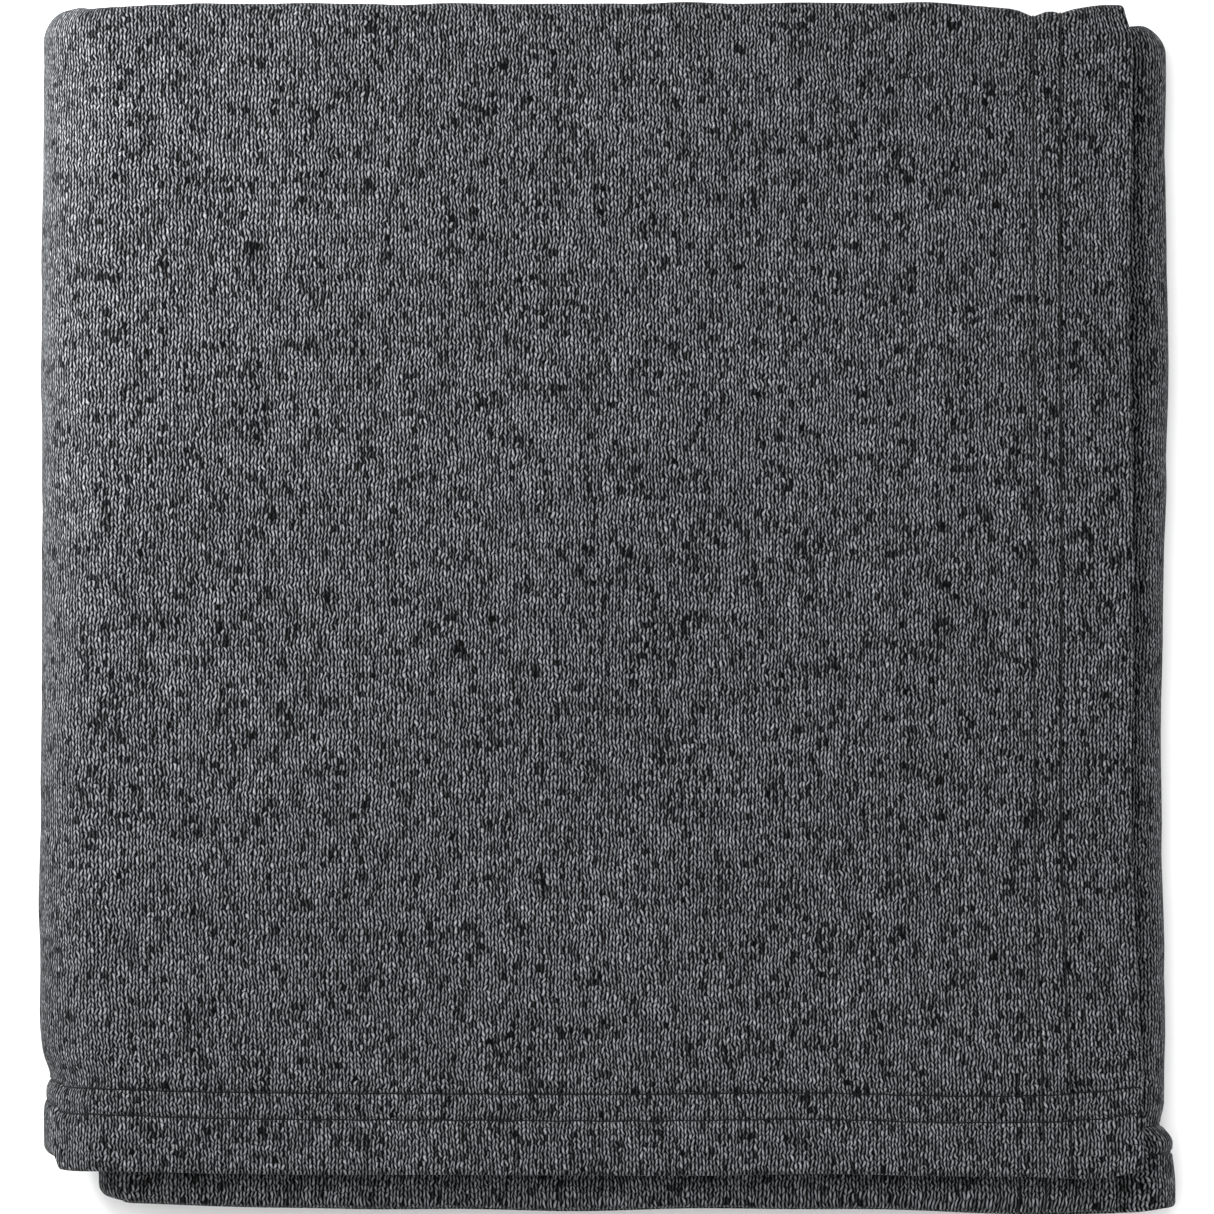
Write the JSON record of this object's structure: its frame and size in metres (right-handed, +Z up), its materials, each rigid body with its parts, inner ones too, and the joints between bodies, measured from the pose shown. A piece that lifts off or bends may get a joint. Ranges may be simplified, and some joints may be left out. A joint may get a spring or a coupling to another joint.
{
  "type": "folded throw blanket",
  "caption": "Heathered sweater-knit throw blanket folded into a thick rectangular pack, with turned and double-stitched hems; its top half opens to the left.",
  "frame": {"origin": "centre of the pack's footprint, on the surface that it lies on", "axes": "+X towards the fold at the right, +Y from the hems at the front towards the folds at the back, +Z up"},
  "size_m": [0.3326, 0.3562, 0.0511],
  "materials": {
    "knit": "heathered charcoal stocking-stitch sweater knit, brushed soft, matt",
    "needle_thread": "near-black spun polyester sewing thread",
    "looper_thread": "near-black textured looper thread",
    "label": "blank off-white woven tape"
  },
  "bodies": {
    "lower_half": {"third_leaf": "knit", "bottom_leaf": "knit", "right_fold": "knit", "upper_end_hem_lower_half": "knit", "under_end_hem_lower_half": "knit", "upper_hem_needle_threads_lower_half": "needle_thread", "upper_hem_looper_thread_lower_half": "looper_thread", "under_hem_needle_threads_lower_half": "needle_thread", "under_hem_looper_thread_lower_half": "looper_thread", "inner_left_fold": "knit", "upper_end_hem_inner_fold": "knit", "under_end_hem_inner_fold": "knit", "upper_hem_needle_threads_inner_fold": "needle_thread", "upper_hem_looper_thread_inner_fold": "looper_thread", "under_hem_needle_threads_inner_fold": "needle_thread", "under_hem_looper_thread_inner_fold": "looper_thread"},
    "outer_fold": {"outer_left_fold": "knit", "upper_end_hem_outer_fold": "knit", "under_end_hem_outer_fold": "knit", "upper_hem_needle_threads_outer_fold": "needle_thread", "upper_hem_looper_thread_outer_fold": "looper_thread", "under_hem_needle_threads_outer_fold": "needle_thread", "under_hem_looper_thread_outer_fold": "looper_thread"},
    "top_leaf": {"top_leaf": "knit", "top_side_hem": "knit", "upper_end_hem_top_leaf": "knit", "under_end_hem_top_leaf": "knit", "upper_hem_needle_threads_top_leaf": "needle_thread", "upper_hem_looper_thread_top_leaf": "looper_thread", "under_hem_needle_threads_top_leaf": "needle_thread", "under_hem_looper_thread_top_leaf": "looper_thread", "top_side_hem_needle_threads": "needle_thread", "top_side_hem_looper_thread": "looper_thread"},
    "second_leaf": {"second_leaf": "knit", "second_side_hem": "knit", "upper_end_hem_second_leaf": "knit", "under_end_hem_second_leaf": "knit", "upper_hem_needle_threads_second_leaf": "needle_thread", "upper_hem_looper_thread_second_leaf": "looper_thread", "under_hem_needle_threads_second_leaf": "needle_thread", "under_hem_looper_thread_second_leaf": "looper_thread", "second_side_hem_needle_threads": "needle_thread", "second_side_hem_looper_thread": "looper_thread", "care_label": "label"}
  },
  "joints": [
    {"name": "open", "type": "hinge", "parent": "lower_half", "child": "second_leaf", "pos_m": [-0.1382, 0, 0.02555], "axis": [0, -1, 0], "range_deg": [0, 179.5], "deforming": ["inner_left_fold", "upper_end_hem_inner_fold", "under_end_hem_inner_fold", "upper_hem_needle_threads_inner_fold", "upper_hem_looper_thread_inner_fold", "under_hem_needle_threads_inner_fold", "under_hem_looper_thread_inner_fold"]},
    {"name": "outer_fold_turn", "type": "hinge", "parent": "lower_half", "child": "outer_fold", "pos_m": [-0.15582, 0, 0.01043], "axis": [0, -1, 0], "range_deg": [0, 89.75], "deforming": ["outer_left_fold", "upper_end_hem_outer_fold", "under_end_hem_outer_fold", "upper_hem_needle_threads_outer_fold", "upper_hem_looper_thread_outer_fold", "under_hem_needle_threads_outer_fold", "under_hem_looper_thread_outer_fold"]},
    {"name": "top_leaf_turn", "type": "hinge", "parent": "outer_fold", "child": "top_leaf", "pos_m": [-0.15582, 0, 0.04067], "axis": [0, -1, 0], "range_deg": [0, 89.75]}
  ],
  "couplings": [
    {"joint": "outer_fold_turn", "follows": "open", "ratio": 0.5},
    {"joint": "top_leaf_turn", "follows": "open", "ratio": 0.5}
  ]
}
